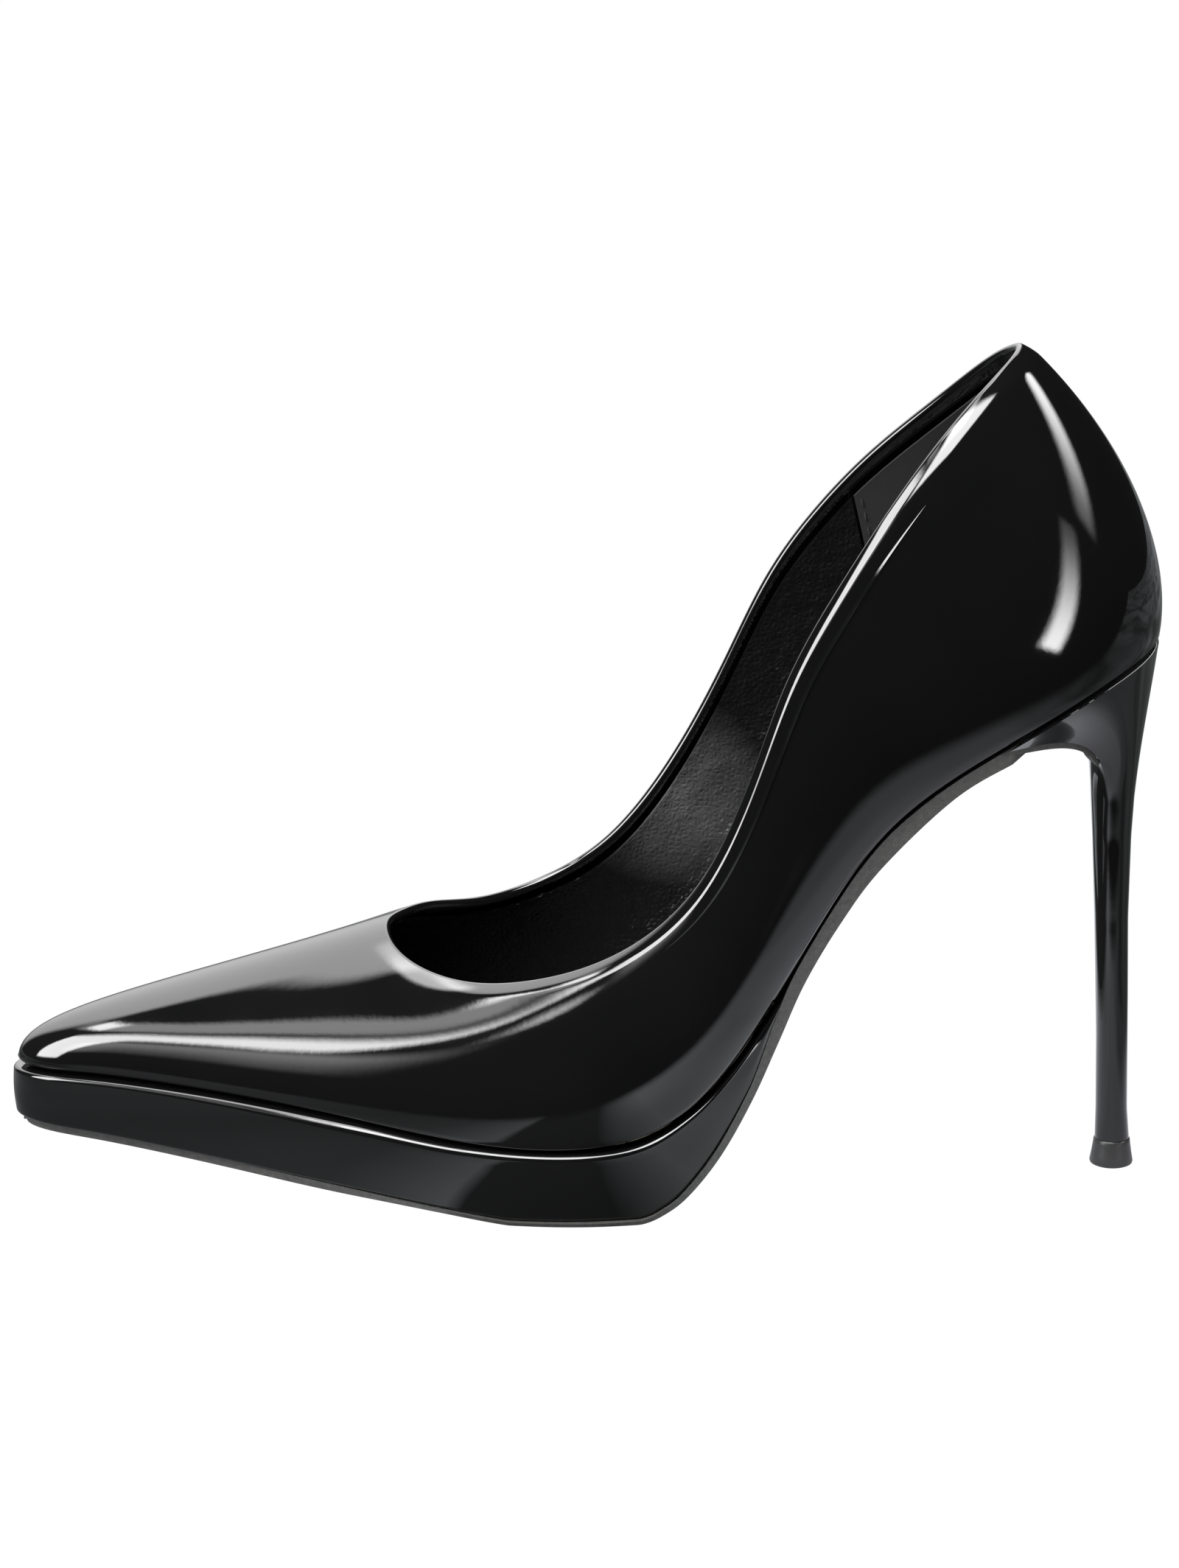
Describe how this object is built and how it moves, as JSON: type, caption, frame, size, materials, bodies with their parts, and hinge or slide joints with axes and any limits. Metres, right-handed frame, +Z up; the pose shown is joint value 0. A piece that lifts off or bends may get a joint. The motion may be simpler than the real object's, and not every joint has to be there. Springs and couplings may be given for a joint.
{
  "type": "high heel pump",
  "caption": "Pointed-toe patent leather pump with a low covered platform, a cut-out topline and a slim covered stiletto heel.",
  "frame": {"origin": "centre of the underside of the heel tip, on the floor", "axes": "+Z up from the floor, +X along the shoe from toe to heel, -Y towards the outer (lateral) side of the foot"},
  "size_m": [0.2298, 0.075, 0.1701],
  "materials": {
    "patent_upper": "gloss",
    "patent_binding": "gloss",
    "patent_wrap": "gloss",
    "smooth_lining": "satin",
    "grained_sock": "satin",
    "suede_grip": "matte",
    "sole_rubber": "matte",
    "tip_rubber": "satin",
    "heel_plastic": "matte",
    "stiffener": "matte",
    "fibre_board": "matte",
    "backer_fabric": "matte",
    "foam": "matte",
    "spring_steel": "satin"
  },
  "bodies": {
    "root": {"vamp_and_lateral_quarter": "patent_upper", "medial_quarter": "patent_upper", "topline_binding": "patent_binding", "toe_puff": "stiffener", "heel_counter": "fibre_board", "lateral_interlining": "backer_fabric", "medial_interlining": "backer_fabric", "vamp_lining": "smooth_lining", "heel_grip": "suede_grip", "sock_lining": "grained_sock", "forefoot_cushion": "foam", "heel_pad": "foam", "insole_board": "fibre_board", "shank_board": "fibre_board", "steel_shank": "spring_steel", "shank_rivet_front": "spring_steel", "shank_rivet_rear": "spring_steel", "bottom_filler": "foam", "platform_core": "foam", "platform_cover": "patent_wrap", "outsole": "sole_rubber", "heel_breast_flap": "sole_rubber", "heel_cover": "patent_wrap", "heel_block": "heel_plastic", "heel_dowel": "spring_steel", "heel_screw": "spring_steel", "heel_nail_1": "spring_steel", "heel_nail_2": "spring_steel", "heel_nail_3": "spring_steel", "heel_nail_4": "spring_steel", "top_piece": "tip_rubber", "top_piece_pin": "spring_steel"}
  },
  "joints": []
}
